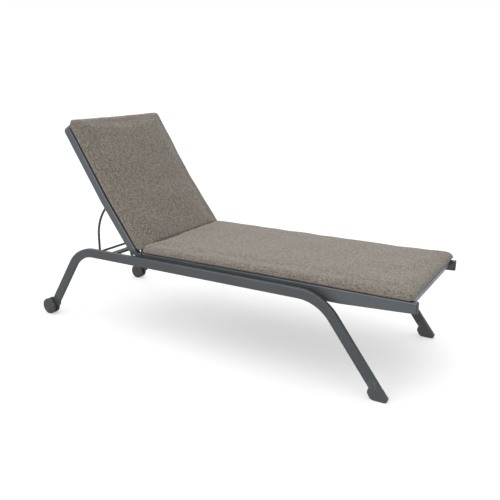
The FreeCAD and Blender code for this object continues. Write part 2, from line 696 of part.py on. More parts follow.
def prop_cross_rod():
    return across(PROP_ROD_R, PROP_FOOT_X, PROP_FOOT_Z, -FRAME_INNER_Y + 0.4, FRAME_INNER_Y - 0.4)


def prop_bush(side):
    """Plastic bearing on the inside of the side frame; the prop's cross rod turns in it."""
    near, face = FRAME_INNER_Y - PROP_BUSH_DEPTH, FRAME_INNER_Y
    ring = across(PROP_BUSH_R, PROP_FOOT_X, PROP_FOOT_Z, side * near, side * face)
    return ring.cut(across(PROP_ROD_R + FIT, PROP_FOOT_X, PROP_FOOT_Z, side * (near - 1), side * face))


def pin_on_back(angle):
    """Where the prop's tip is, along and out of the upper back, when the lower back is at an angle."""
    foot, _, tip = prop_route(0.0)
    reach = tip.sub(foot)
    swing = math.radians((BACK_ANGLE - angle) * PROP_RATIO)
    turned = vec(reach.x * math.cos(swing) - reach.z * math.sin(swing), 0,
                 reach.x * math.sin(swing) + reach.z * math.cos(swing))
    lower_up, _ = back_axes(angle)
    upper_up, upper_out = back_axes(angle + BACK_KINK)
    kink = HINGE + lower_up * BACK_KINK_AT
    offset = foot.add(turned).sub(kink)
    return BACK_KINK_AT + offset.dot(upper_up), offset.dot(upper_out)


def rack(side):
    """Notched bar on the inner face of the back rail; its notches face the prop's tip."""
    start, _ = pin_on_back(BACK_ANGLE)
    end, _ = pin_on_back(0.0)
    top = GROOVE_RISE - SLIT - 1.5
    steps = 12
    low_end, high_end = start - RACK_OVERRUN, end + RACK_OVERRUN
    outline = [on_back(high_end, top), on_back(low_end, top), on_back(low_end, RACK_BACK_RISE)]
    for step in range(steps + 1):
        distance, rise = pin_on_back(BACK_ANGLE * (1 - step / steps))
        outline.append(on_back(distance, rise + PROP_ROD_R + 1.2))
    outline.append(on_back(high_end, RACK_BACK_RISE))
    y_from, y_to = side * (RAIL_INNER_Y - RACK_THICKNESS), side * RAIL_INNER_Y
    bar = plate([(point.x, point.z) for point in outline], y_from, y_to)
    for angle in RACK_STOPS:
        distance, rise = pin_on_back(angle)
        seat = on_back(distance, rise + 1.6)
        bar = bar.cut(across(PROP_ROD_R + 0.9, seat.x, seat.z, y_from - 5 * side, y_to + 5 * side))
    return bar


def rack_screws():
    """Flat-headed screws that hold the racks on the back rails."""
    start, _ = pin_on_back(BACK_ANGLE)
    end, _ = pin_on_back(0.0)
    solids = []
    for side in (1.0, -1.0):
        for distance in (start - RACK_SCREW_INSET, end + RACK_SCREW_INSET):
            place = on_back(distance, 1.0)
            inner = side * (RAIL_INNER_Y - RACK_THICKNESS)
            shank = across(SCREW_R, place.x, place.z, inner, side * (RAIL_INNER_Y + 5.0))
            head = across(2 * SCREW_R, place.x, place.z, inner - side * SCREW_R, inner)
            solids.append(shank.fuse(head).removeSplitter())
    return group(solids)


# ---- wheels ------------------------------------------------------------------------------

def wheel_span(side, outboard):
    """Inner and outer Y of a wheel; a leg has one wheel each side of its tongue."""
    near = FRAME_Y + (1 if outboard else -1) * (TONGUE_THICKNESS / 2 + WHEEL_GAP)
    far = near + (1 if outboard else -1) * WHEEL_WIDTH
    return side * near, side * far


def wheel(side, outboard):
    """Moulded wheel with a domed face and a recess round the hub on its other side."""
    near, far = wheel_span(side, outboard)
    out = 1.0 if far > near else -1.0
    rim = WHEEL_R - TYRE_DEPTH
    profile = [(0.0, 0.0), (rim, 0.0), (rim, WHEEL_WIDTH - 4.0), (rim - 5.0, WHEEL_WIDTH - 2.0),
               (rim - 12.0, WHEEL_WIDTH - 0.6), (8.0, WHEEL_WIDTH), (0.0, WHEEL_WIDTH)]
    corners = [vec(WHEEL_X + radius, near + out * reach, WHEEL_R) for radius, reach in profile]
    face = Part.Face(Part.makePolygon(corners + corners[:1]))
    body = face.revolve(vec(WHEEL_X, near, WHEEL_R), ACROSS, 360)
    floor = near + out * WHEEL_RECESS
    recess = across(rim - 4.0, WHEEL_X, WHEEL_R, near - out, floor)
    recess = recess.cut(across(WHEEL_HUB_R, WHEEL_X, WHEEL_R, near - 2 * out, floor + out))
    body = body.cut(recess)
    return body.cut(across(AXLE_R, WHEEL_X, WHEEL_R, near - out, near + out * (AXLE_SEAT + 0.4)))


def tyre(side, outboard):
    """Soft tread round the wheel."""
    near, far = wheel_span(side, outboard)
    out = 1.0 if far > near else -1.0
    edge = near + out * (WHEEL_WIDTH - 3.0)
    ring = across(WHEEL_R, WHEEL_X, WHEEL_R, near, edge)
    ring = round_along(ring, 2.4, lambda edge: edge.BoundBox.YLength < 0.01)
    return ring.cut(across(WHEEL_R - TYRE_DEPTH, WHEEL_X, WHEEL_R, near - out, edge + out))


def axle(side):
    reach = TONGUE_THICKNESS / 2 + WHEEL_GAP + AXLE_SEAT
    return across(AXLE_R, WHEEL_X, WHEEL_R, side * FRAME_Y - reach, side * FRAME_Y + reach)


def main():
    os.makedirs("parts", exist_ok=True)
    save("frame_cross_tube", frame_cross_tube())
    save("foot_bar", foot_bar())
    for name, x in zip(("rear", "middle", "front"), CROSS_TUBES):
        save(f"seat_cross_tube_{name}", cross_round_tube(SEAT_TUBE_R, x, SEAT_TUBE_Z))
    save("rail_spacers", rail_spacers())
    save("frame_bolts", frame_bolts())
    save("rivet_nuts", rivet_nuts())
    save("seat_sling", seat_sling())
    save("seat_splines", seat_splines())
    save("seat_cushion", seat_cushion())
    save("back_top_bar", back_top_bar())
    save("back_lower_bar", back_lower_bar())
    save("back_sling", back_sling())
    save("back_splines", back_splines())
    save("back_cushion", back_cushion())
    save("prop_cross_rod", prop_cross_rod())
    save("rack_screws", rack_screws())
    paired = (side_frame, front_foot, leg_plug, seat_rail, seat_rail_cap, hinge_fork, hinge_eye,
              pivot_bolt, pivot_bush, back_rail, rack, prop_leg, prop_bush, axle)
    for name, side in SIDES:
        for piece in paired:
            save(f"{piece.__name__}_{name}", piece(side))
        for place, outboard in (("outer", True), ("inner", False)):
            save(f"wheel_{name}_{place}", wheel(side, outboard))
            save(f"tyre_{name}_{place}", tyre(side, outboard))


main()
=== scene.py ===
"""Looks of the reclining sun lounger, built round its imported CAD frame. Metres, same axes as the CAD."""
import json
import math

import bmesh
import bpy
import numpy as np
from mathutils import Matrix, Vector, noise


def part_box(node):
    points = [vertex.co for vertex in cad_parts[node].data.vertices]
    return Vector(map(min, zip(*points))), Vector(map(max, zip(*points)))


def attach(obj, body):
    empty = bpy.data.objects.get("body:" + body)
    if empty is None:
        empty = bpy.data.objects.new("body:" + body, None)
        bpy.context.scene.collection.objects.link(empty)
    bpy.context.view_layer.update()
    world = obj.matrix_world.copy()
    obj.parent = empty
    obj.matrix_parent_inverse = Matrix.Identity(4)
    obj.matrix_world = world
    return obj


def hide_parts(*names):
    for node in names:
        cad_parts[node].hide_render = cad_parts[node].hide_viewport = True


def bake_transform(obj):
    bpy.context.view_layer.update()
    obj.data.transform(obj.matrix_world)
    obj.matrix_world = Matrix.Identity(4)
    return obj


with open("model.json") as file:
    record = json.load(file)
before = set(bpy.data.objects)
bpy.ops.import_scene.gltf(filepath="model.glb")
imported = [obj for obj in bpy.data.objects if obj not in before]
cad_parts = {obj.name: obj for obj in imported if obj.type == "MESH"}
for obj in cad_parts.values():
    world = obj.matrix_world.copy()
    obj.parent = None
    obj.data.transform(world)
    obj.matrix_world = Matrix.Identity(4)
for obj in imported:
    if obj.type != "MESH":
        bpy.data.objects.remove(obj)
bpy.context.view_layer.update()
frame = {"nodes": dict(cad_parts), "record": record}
nodes = frame["nodes"]
joints = {joint["name"]: joint for joint in frame["record"]["behaviour"]["joints"]}

# ---- places that come from the frame ------------------------------------------------------

HINGE = Vector(joints["back_recline"]["pos_m"])
LEAN = math.radians(abs(joints["back_recline"]["range_deg"][0]))   # the back is level at its limit
KINK = math.radians(3.6)             # extra lean of the upper part of the back
KINK_AT = 0.295                      # distance of the bend from the hinge
KINK_RUN = 0.040                     # length over which the back bends
SEAT_LOW, SEAT_HIGH = (Vector(corner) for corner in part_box("seat_cushion"))
BACK_HIGH = Vector(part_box("back_cushion")[1])
BACK_START, BACK_END = -0.012, 0.699  # of the back cushion, along the back from the hinge
BACK_SKEW = 0.014                    # its top edge is this much out of square
BACK_RISE = 0.0205                   # underside of the back cushion above the rail's centre line


def on_back(along, across, rise):
    """A point of the raised back: distance from the hinge, place across, and rise out of its front."""
    angle = LEAN
    first = KINK_AT - KINK_RUN / 2
    x, z = 0.0, 0.0
    straight = min(along, first)
    x -= straight * math.cos(angle)
    z += straight * math.sin(angle)
    if along > first:
        turned = min((along - first) / KINK_RUN, 1.0) * KINK
        radius = KINK_RUN / KINK
        x -= radius * (math.sin(angle + turned) - math.sin(angle))
        z += radius * (math.cos(angle) - math.cos(angle + turned))
        angle += turned
    if along > first + KINK_RUN:
        x -= (along - first - KINK_RUN) * math.cos(angle)
        z += (along - first - KINK_RUN) * math.sin(angle)
    x += rise * math.sin(angle)
    z += rise * math.cos(angle)
    return Vector((HINGE.x + x, across, HINGE.z + z))


# ---- materials ----------------------------------------------------------------------------

MIX_FACTOR, MIX_FIRST, MIX_SECOND = 0, 6, 7     # a mix node's inputs when it mixes colours
MIX_COLOUR = 2                                  # its output
DUST = (0.24, 0.22, 0.20)
DIRT = (0.16, 0.15, 0.14)
DUST_REACH = 0.10                    # dust lies on the lowest stretch of the frame
FLECK_SCALE = 165.0                  # knots of yarn about 6 mm across
YARN_SHARE, KNOT_SHARE, PATCH_SHARE = 0.25, 0.50, 0.25


class Nodes:
    """A material's node tree, with short ways to add what every finish here needs."""

    def __init__(self, name):
        self.material = bpy.data.materials.new(name)
        self.material.use_nodes = True
        self.tree = self.material.node_tree
        self.shader = self.tree.nodes["Principled BSDF"]
        self.place = self.tree.nodes.new("ShaderNodeTexCoord").outputs["Object"]

    def add(self, kind, inputs=None, **settings):
        node = self.tree.nodes.new(kind)
        for key, value in settings.items():
            setattr(node, key, value)
        for key, value in (inputs or {}).items():
            if isinstance(value, bpy.types.NodeSocket):
                self.tree.links.new(value, node.inputs[key])
            else:
                node.inputs[key].default_value = value
        return node

    def noise(self, scale, detail=2.0, vector=None, stretch=None):
        vector = vector or self.place
        if stretch:
            vector = self.add("ShaderNodeMapping", {"Vector": vector, "Scale": stretch}).outputs[0]
        inputs = {"Vector": vector, "Scale": scale, "Detail": detail}
        return self.add("ShaderNodeTexNoise", inputs).outputs[0]

    def spread(self, value, low, high, low_out=0.0, high_out=1.0):
        """Carry a value from one range to another, and stop it at both ends."""
        inputs = {"Value": value, "From Min": low, "From Max": high, "To Min": low_out, "To Max": high_out}
        return self.add("ShaderNodeMapRange", inputs).outputs[0]

    def blend(self, factor, first, second):
        """A colour between two others, each of them a fixed colour or another node's output."""
        node = self.add("ShaderNodeMix", data_type="RGBA")
        self.tree.links.new(factor, node.inputs[MIX_FACTOR])
        for key, value in ((MIX_FIRST, first), (MIX_SECOND, second)):
            if isinstance(value, bpy.types.NodeSocket):
                self.tree.links.new(value, node.inputs[key])
            else:
                node.inputs[key].default_value = (*value, 1.0)
        return node.outputs[MIX_COLOUR]

    def math(self, operation, first, second):
        return self.add("ShaderNodeMath", {0: first, 1: second}, operation=operation).outputs[0]

    def bump(self, height, strength, distance, under=None):
        inputs = {"Height": height, "Strength": strength, "Distance": distance}
        if under is not None:
            inputs["Normal"] = under
        return self.add("ShaderNodeBump", inputs).outputs[0]

    def finish(self, colour, roughness, normal, **fixed):
        links = self.tree.links
        links.new(colour, self.shader.inputs["Base Color"])
        links.new(roughness, self.shader.inputs["Roughness"])
        links.new(normal, self.shader.inputs["Normal"])
        for key, value in fixed.items():
            self.shader.inputs[key.replace("_", " ")].default_value = value
        return self.material


def tint(colour, factor):
    return tuple(channel * factor for channel in colour)


def powder_coat(name, colour, rough, grain, metal=0.0):
    """Baked paint: a fine orange-peel grain, faint clouds, and dust that settles low down."""
    m = Nodes(name)
    clouds = m.spread(m.noise(5.0, 4.0), 0.35, 0.65)
    paint = m.blend(clouds, tint(colour, 0.94), tint(colour, 1.07))
    specks = m.spread(m.noise(1400.0, 1.0), 0.62, 0.75)
    paint = m.blend(m.math("MULTIPLY", specks, 0.35), paint, tint(colour, 1.9))
    height = m.add("ShaderNodeSeparateXYZ", {"Vector": m.place}).outputs["Z"]
    lowness = m.spread(height, DUST_REACH, 0.0)
    dust = m.math("MULTIPLY", lowness, m.spread(m.noise(60.0, 4.0), 0.45, 0.7, 0.0, 0.4))
    paint = m.blend(dust, paint, DUST)
    shine = m.spread(m.noise(22.0, 5.0), 0.3, 0.7, rough - 0.05, rough + 0.08)
    peel = m.bump(m.noise(420.0, 2.0), grain, 0.0003)
    fine = m.bump(m.noise(1700.0, 1.0), grain * 0.7, 0.00012, peel)
    return m.finish(paint, shine, fine, Metallic=metal)


def moulded_plastic(name, colour, rough):
    """Dark plastic with a sparked grain and pale scuffs."""
    m = Nodes(name)
    clouds = m.spread(m.noise(14.0, 3.0), 0.35, 0.65)
    plastic = m.blend(clouds, tint(colour, 0.9), tint(colour, 1.12))
    scuffs = m.spread(m.noise(55.0, 8.0, stretch=(1.0, 1.0, 4.0)), 0.58, 0.72, 0.0, 0.35)
    plastic = m.blend(scuffs, plastic, tint(colour, 1.8))
    shine = m.spread(m.noise(40.0, 5.0), 0.3, 0.7, rough - 0.08, rough + 0.1)
    spark = m.bump(m.noise(1100.0, 2.0), 0.25, 0.0002)
    return m.finish(plastic, shine, spark)


def tread_rubber(name, colour):
    """Dull rubber with dry dirt rubbed into it."""
    m = Nodes(name)
    dirt = m.spread(m.noise(90.0, 6.0), 0.45, 0.75, 0.0, 0.5)
    rubber = m.blend(dirt, colour, DIRT)
    shine = m.spread(m.noise(60.0, 4.0), 0.3, 0.7, 0.72, 0.9)
    return m.finish(rubber, shine, m.bump(m.noise(500.0, 4.0), 0.4, 0.0004))


def turned_steel(name, colour):
    """Bright steel with the marks of the lathe round it."""
    m = Nodes(name)
    marks = m.noise(900.0, 2.0, stretch=(0.1, 1.0, 0.1))
    steel = m.blend(m.spread(marks, 0.3, 0.7), tint(colour, 0.85), tint(colour, 1.1))
    shine = m.spread(marks, 0.3, 0.7, 0.22, 0.4)
    return m.finish(steel, shine, m.bump(marks, 0.15, 0.0001), Metallic=1.0)


def woven(name, colour, pitch, contrast, depth, speck, sheen, rough):
    """Plain weave laid out by the piece's own UV, which is in metres along and across the cloth."""
    m = Nodes(name)
    uv = m.add("ShaderNodeUVMap", uv_map="cloth").outputs[0]
    drift = m.add("ShaderNodeTexNoise", {"Vector": uv, "Scale": 45.0, "Detail": 2.0}).outputs[1]
    reach = (pitch * 0.9,) * 3
    wobble = m.add("ShaderNodeVectorMath", {0: drift, 1: reach}, operation="MULTIPLY").outputs[0]
    cloth = m.add("ShaderNodeVectorMath", {0: uv, 1: wobble}, operation="ADD").outputs[0]
    split = m.add("ShaderNodeSeparateXYZ", {"Vector": cloth})
    waves = []
    for axis in ("X", "Y"):
        turns = m.math("MULTIPLY", split.outputs[axis], math.pi / pitch)
        waves.append(m.add("ShaderNodeMath", {0: turns}, operation="SINE").outputs[0])
    over = m.math("MULTIPLY", waves[0], waves[1])
    warp = m.noise(1.0 / pitch, 1.0, cloth, (0.16, 1.0, 1.0))
    weft = m.noise(1.0 / pitch, 1.0, cloth, (1.0, 0.16, 1.0))
    on_top = {0: m.spread(over, -0.25, 0.25), 2: warp, 3: weft}
    tone = m.add("ShaderNodeMix", on_top, data_type="FLOAT").outputs[0]
    flecks = m.spread(tone, 0.36, 0.64)
    knots = m.spread(m.noise(FLECK_SCALE, 2.0, cloth), 0.38, 0.62)
    patches = m.spread(m.noise(FLECK_SCALE / 2.6, 1.0, cloth), 0.35, 0.65)
    broad = m.spread(m.noise(7.0, 3.0, cloth), 0.3, 0.7)
    mixed = m.math("ADD", m.math("MULTIPLY", flecks, YARN_SHARE), m.math("MULTIPLY", knots, KNOT_SHARE))
    mixed = m.math("ADD", mixed, m.math("MULTIPLY", patches, PATCH_SHARE))
    dyed = m.blend(mixed, tint(colour, 1.0 - contrast), tint(colour, 1.0 + contrast))
    dyed = m.blend(m.math("MULTIPLY", broad, 0.10), dyed, tint(colour, 0.8))
    dark = m.spread(m.noise(0.5 / pitch, 2.0, cloth), 0.60, 0.70, 0.0, speck)
    dyed = m.blend(dark, dyed, tint(colour, 0.45))
    height = m.math("ADD", m.math("ABSOLUTE", over, 0.0), m.math("MULTIPLY", tone, 0.5))
    shine = m.spread(tone, 0.3, 0.7, rough - 0.06, min(rough + 0.08, 1.0))
    normal = m.bump(height, 0.6, depth)
    return m.finish(dyed, shine, normal, Sheen_Weight=sheen, Sheen_Roughness=0.5, Specular_IOR_Level=0.25)


ANTHRACITE = (0.0215, 0.0250, 0.0280)
frame_paint = powder_coat("frame_powder_coat", ANTHRACITE, 0.52, 0.16)
# painted light: the rails get the frame's own anthracite made twice as light, a lit copy that paints their
# brighter faces into the colour
rail_paint = powder_coat("rail_powder_coat_lit_copy", tint(ANTHRACITE, 2.0), 0.34, 0.10, 0.15)
rod_paint = powder_coat("rod_powder_coat", tint(ANTHRACITE, 0.85), 0.42, 0.12)
plastic = moulded_plastic("moulded_plastic", (0.017, 0.018, 0.019), 0.55)
foot_plastic = moulded_plastic("foot_plastic", (0.027, 0.030, 0.033), 0.48)
rubber = tread_rubber("tread_rubber", (0.017, 0.017, 0.018))
steel = turned_steel("turned_steel", (0.50, 0.51, 0.52))
cushion_cloth = woven("cushion_weave", (0.1080, 0.0930, 0.0755), 0.0018, 0.78, 0.0006, 0.45, 0.15, 0.9)
welt_cloth = woven("welt_weave", (0.128, 0.111, 0.091), 0.0012, 0.25, 0.0003, 0.3, 0.15, 0.88)
sling_cloth = woven("sling_weave", (0.030, 0.031, 0.032), 0.0022, 0.22, 0.0007, 0.2, 0.0, 0.55)

SLOTS = {
    "frame_paint": frame_paint, "rail_paint": rail_paint, "rod_paint": rod_paint,
    "dark_plastic": plastic, "tread": rubber, "steel": steel,
}
for part in frame["record"]["subparts"]:
    if part["material_slot"] in SLOTS:
        finish = SLOTS[part["material_slot"]]
        if part["node"].startswith("front_foot"):
            finish = foot_plastic
        mesh = nodes[part["node"]].data
        mesh.materials.clear()
        mesh.materials.append(finish)


# ---- cushions -----------------------------------------------------------------------------

VOXEL = 0.0065
CORNER_STEPS = 10                    # of an outline, round each corner
STRAIGHT_STEPS = 24                  # and along each side
# Rings of a pad below its seam: how far in they lie, and their share of the seam's height.
UNDERSIDE_RINGS = ((0.150, 0.0), (0.040, 0.0), (0.013, 0.06), (0.005, 0.25), (0.001, 0.6), (0.0, 1.0))
SHOULDER_STEPS = 7
CREST_SHARE = 0.95                   # how much of the crown is reached at the end of the shoulder
CROWN_SHARE = 0.985                  # and a little further in
CROWN_INSETS = (0.05, 0.13)          # of the last two rings, from the end of the shoulder
FOOT_REACH = 0.2                     # the blunt curve of a pad's foot gives way over this length
SLANT_REACH = 0.08                   # and the slant of its foot over this one

PRESSURE = 4.0                       # of the filling, in the simulation
SLACK = -0.004                       # share by which the cloth is larger than the form
LAST_FRAME = 20
SEAM_BAND = 0.004                    # points this near the seam, and this far out, stay on it
SEAM_SHARE = 0.97
HELD_SHARE = 0.3                     # so do those below this share of the seam's height
DEEPEST_DENT = 0.001
SMOOTHING = 14                       # rounds of averaging that turn puckers into swells

RUMPLE_DEPTH = 0.0045
RUMPLE_SIZE = 0.11
RUMPLE_FADE = 0.012                  # height above the seam at which the rumples are in full

SIDE_BAND = 0.045                    # the cloth turns down within this distance of the edge
BAND_FADE = 0.02
CREST_DROP = 0.006
WELT_RADIUS = 0.0017
WELT_SIDES = 8


def foot_slant(slant, rise, thick, x):
    """How far a point of a pad is moved up the pad, so that the underside starts further in."""
    return slant * (1 - rise / thick) * max(0.0, 1 - x / SLANT_REACH)


def outline(length, half, corner, pull):
    """A rounded rectangle from 0 to length and across, whose sides pull in between the corners."""
    points = []
    for cx, cy, turn in ((length - corner, half - corner, 0), (corner, half - corner, 90),
                         (corner, corner - half, 180), (length - corner, corner - half, 270)):
        for step in range(CORNER_STEPS + 1):
            angle = math.radians(turn + 90 * step / CORNER_STEPS)
            points.append((cx + corner * math.cos(angle), cy + corner * math.sin(angle)))
        end_x, end_y = {0: (corner, half), 90: (0.0, corner - half), 180: (length - corner, -half),
                        270: (length, half - corner)}[turn]
        start_x, start_y = points[-1]
        for step in range(1, STRAIGHT_STEPS):
            share = step / STRAIGHT_STEPS
            points.append((start_x + (end_x - start_x) * share, start_y + (end_y - start_y) * share))
    drawn = []
    for x, y in points:
        along = math.sin(math.pi * min(max(x / length, 0.0), 1.0))
        over = math.cos(math.pi / 2 * min(max(y / half, -1.0), 1.0))
        inward_y = pull * along * abs(y) / half
        inward_x = pull * over * (1 if x < length / 2 else -1) * abs(x / length - 0.5) * 2
        drawn.append((x + inward_x, y - math.copysign(inward_y, y)))
    return drawn


def object_from(bm, name, material=None):
    """Turn a built form into an object of the scene, smooth where it has its material already."""
    bmesh.ops.recalc_face_normals(bm, faces=bm.faces)
    mesh = bpy.data.meshes.new(name)
    bm.to_mesh(mesh)
    bm.free()
    if material:
        mesh.polygons.foreach_set("use_smooth", [True] * len(mesh.polygons))
        mesh.materials.append(material)
    piece = bpy.data.objects.new(name, mesh)
    bpy.context.collection.objects.link(piece)
    return piece


def pad_form(name, length, half, thick, seam, corner, pull, shoulder, blunt_foot, slant):
    """A closed pad: flat underneath, a seam round its side, and a crowned top.

    blunt_foot is how far the curve at its first end reaches in, as a share of the other edges;
    slant is how much further in the underside starts than the top at that end.
    """
    over = thick - seam
    rings = [(inset, seam * share) for inset, share in UNDERSIDE_RINGS]
    for step in range(1, SHOULDER_STEPS + 1):
        turn = math.pi / 2 * step / SHOULDER_STEPS
        rings.append((shoulder * (1 - math.cos(turn)), seam + over * CREST_SHARE * math.sin(turn)))
    rings.append((shoulder + CROWN_INSETS[0], seam + over * CROWN_SHARE))
    rings.append((shoulder + CROWN_INSETS[1], thick))
    shape = outline(length, half, corner, pull)
    middle_x = length / 2
    bm = bmesh.new()
    loops = []
    for inset, rise in rings:
        loop = []
        for x, y in shape:
            foot_share = max(0.0, 1 - x / FOOT_REACH)
            inset_x = inset * (1 + (blunt_foot - 1) * foot_share)
            in_x = middle_x + (x - middle_x) * (1 - inset_x / middle_x) + foot_slant(slant, rise, thick, x)
            in_y = y * (1 - inset / half)
            loop.append(bm.verts.new((in_x, in_y, rise)))
        loops.append(loop)
    for low, high in zip(loops, loops[1:]):
        for k in range(len(shape)):
            n = (k + 1) % len(shape)
            bm.faces.new((low[k], low[n], high[n], high[k]))
    bm.faces.new(list(reversed(loops[0])))
    bm.faces.new(loops[-1])
    return object_from(bm, name)


def voxel_remesh(piece):
    """Give a pad an even grid of points, which the simulation needs."""
    bpy.ops.object.select_all(action="DESELECT")
    piece.select_set(True)
    bpy.context.view_layer.objects.active = piece
    piece.data.remesh_voxel_size = VOXEL
    piece.data.remesh_voxel_adaptivity = 0.0
    bpy.ops.object.voxel_remesh()


def per_point(mesh, what):
    """A row of three numbers for each point: its place, or the way the surface faces there."""
    flat = np.empty(len(mesh.vertices) * 3)
    mesh.vertices.foreach_get(what, flat)
    return flat.reshape(-1, 3)


def put_positions(mesh, co):
    mesh.vertices.foreach_set("co", co.ravel())
    mesh.update()


def spread_out(mesh, values):
    """Average a value over neighbouring points, so that only broad swells are left of it."""
    ends = np.empty(len(mesh.edges) * 2, dtype=np.int64)
    mesh.edges.foreach_get("vertices", ends)
    ends = ends.reshape(-1, 2)
    count = np.bincount(ends.ravel(), minlength=len(values))
    for _ in range(SMOOTHING):
        total = np.bincount(ends[:, 0], values[ends[:, 1]], len(values))
        total += np.bincount(ends[:, 1], values[ends[:, 0]], len(values))
        values = 0.5 * values + 0.5 * total / np.maximum(count, 1)
    return values


def rumple(piece, seam):
    """Slow hollows and swells of a loose filling, none of them at the seam or underneath."""
    co = per_point(piece.data, "co")
    facing = per_point(piece.data, "normal")
    rise = np.array([noise.noise(Vector(row) / RUMPLE_SIZE) for row in co])
    share = np.clip((co[:, 2] - seam) / RUMPLE_FADE, 0.0, 1.0)
    put_positions(piece.data, co + facing * (RUMPLE_DEPTH * rise * share)[:, None])


def inflate(piece, length, half, seam, cap):
    """Swell the top by cloth simulation, by no more than cap, while the underside and the seam stay put.

    Only the outward part of the movement is kept, and it is averaged, so that it leaves no puckers.
    """
    co = per_point(piece.data, "co")
    group = piece.vertex_groups.new(name="held")
    outness = np.maximum(np.abs(co[:, 1]) / half, np.abs(co[:, 0] - length / 2) / (length / 2))
    on_seam = (np.abs(co[:, 2] - seam) < SEAM_BAND) & (outness > SEAM_SHARE)
    held = np.where((co[:, 2] < seam * HELD_SHARE) | on_seam)[0]
    group.add([int(index) for index in held], 1.0, "REPLACE")
    cloth = piece.modifiers.new("swell", "CLOTH")
    cloth.settings.quality = 6
    cloth.settings.mass = 0.25
    cloth.settings.tension_stiffness = 12
    cloth.settings.compression_stiffness = 8
    cloth.settings.shear_stiffness = 6
    cloth.settings.bending_stiffness = 0.4
    cloth.settings.use_pressure = True
    cloth.settings.uniform_pressure_force = PRESSURE
    cloth.settings.shrink_min = SLACK
    cloth.settings.vertex_group_mass = "held"
    cloth.settings.effector_weights.gravity = 0.0
    cloth.collision_settings.use_collision = False
    cloth.point_cache.frame_end = LAST_FRAME
    scene = bpy.context.scene
    for step in range(1, LAST_FRAME + 1):
        scene.frame_set(step)
    graph = bpy.context.evaluated_depsgraph_get()
    swollen = per_point(piece.evaluated_get(graph).to_mesh(), "co")
    piece.evaluated_get(graph).to_mesh_clear()
    facing = per_point(piece.data, "normal")
    outward = np.clip(np.sum((swollen - co) * facing, axis=1), -DEEPEST_DENT, cap)
    outward = spread_out(piece.data, outward)
    outward[held] = 0.0
    moved = facing * outward[:, None]
    piece.modifiers.remove(cloth)
    piece.vertex_groups.remove(group)
    scene.frame_set(1)
    put_positions(piece.data, co + moved)


def lay_cloth(piece, length, half):
    """UV in metres along and across the cloth, carried on down the sides without stretching."""
    mesh = piece.data
    co = per_point(mesh, "co")
    drop = np.maximum(0.0, co[:, 2].max() - CREST_DROP - co[:, 2])
    near_side = np.clip((np.abs(co[:, 1]) - (half - SIDE_BAND)) / BAND_FADE, 0, 1)
    near_end = np.clip((np.abs(co[:, 0] - length / 2) - (length / 2 - SIDE_BAND)) / BAND_FADE, 0, 1)
    u = co[:, 0] + np.sign(co[:, 0] - length / 2) * drop * near_end
    v = co[:, 1] + np.sign(co[:, 1]) * drop * near_side
    layer = mesh.uv_layers.new(name="cloth")
    corners = np.empty(len(mesh.loops), dtype=np.int32)
    mesh.loops.foreach_get("vertex_index", corners)
    layer.data.foreach_set("uv", np.stack([u[corners], v[corners]], axis=1).ravel())


def finish_pad(piece, material, place):
    """Bring a pad from its own flat layout to its place on the lounger."""
    mesh = piece.data
    put_positions(mesh, np.array([place(*row) for row in per_point(mesh, "co")]))
    mesh.materials.clear()
    mesh.materials.append(material)
    mesh.polygons.foreach_set("use_smooth", [True] * len(mesh.polygons))
    smooth = piece.modifiers.new("smooth", "SUBSURF")
    smooth.levels = 1
    smooth.render_levels = 1


def welt_along(name, points):
    """The round piping of a seam, along a closed line of points, with UV in metres."""
    bm = bmesh.new()
    layer = bm.loops.layers.uv.new("cloth")
    count = len(points)
    girth = 2 * math.pi * WELT_RADIUS / WELT_SIDES
    rings = []
    for k, point in enumerate(points):
        ahead = (points[(k + 1) % count] - points[(k - 1) % count]).normalized()
        side = ahead.cross(Vector((0, 0, 1)))
        side = side.normalized() if side.length > 1e-6 else Vector((0, 1, 0))
        up = side.cross(ahead)
        ring = []
        for s in range(WELT_SIDES):
            angle = 2 * math.pi * s / WELT_SIDES
            ring.append(bm.verts.new(point + (side * math.cos(angle) + up * math.sin(angle)) * WELT_RADIUS))
        rings.append(ring)
    run = 0.0
    for k in range(count):
        n = (k + 1) % count
        step = (points[n] - points[k]).length
        for s in range(WELT_SIDES):
            t = (s + 1) % WELT_SIDES
            face = bm.faces.new((rings[k][s], rings[n][s], rings[n][t], rings[k][t]))
            spots = ((run, s), (run + step, s), (run + step, s + 1), (run, s + 1))
            for loop, (u, turn) in zip(face.loops, spots):
                loop[layer].uv = (u, turn * girth)
        run += step
    return object_from(bm, name, welt_cloth)


def cushion(name, node, body, size, form, place, cap):
    """One loose pad: built flat, swollen by simulation, then laid in its place with a welt on its seam."""
    length, half, thick = size
    seam = form["seam"]
    piece = pad_form(name, length, half, thick, **form)
    voxel_remesh(piece)
    inflate(piece, length, half, seam, cap)
    rumple(piece, seam)
    lay_cloth(piece, length, half)
    finish_pad(piece, cushion_cloth, place)
    edge = []
    for x, y in outline(length, half, form["corner"], form["pull"]):
        edge.append(place(x + foot_slant(form["slant"], seam, thick, x), y, seam))
    welt = welt_along(name + "_welt", edge)
    welt.parent = piece
    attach(piece, body)
    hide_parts(node)


def on_seat(x, y, z):
    """The seat cushion's own layout starts at its rear end."""
    return Vector((SEAT_LOW.x + x, y, SEAT_LOW.z + z))


def on_back_front(x, y, z):
    """The back cushion's own layout starts at its foot. It lies a little askew, as a loose pad does."""
    return on_back(BACK_START + x + BACK_SKEW * y * x / BACK_END, y, BACK_RISE + z)


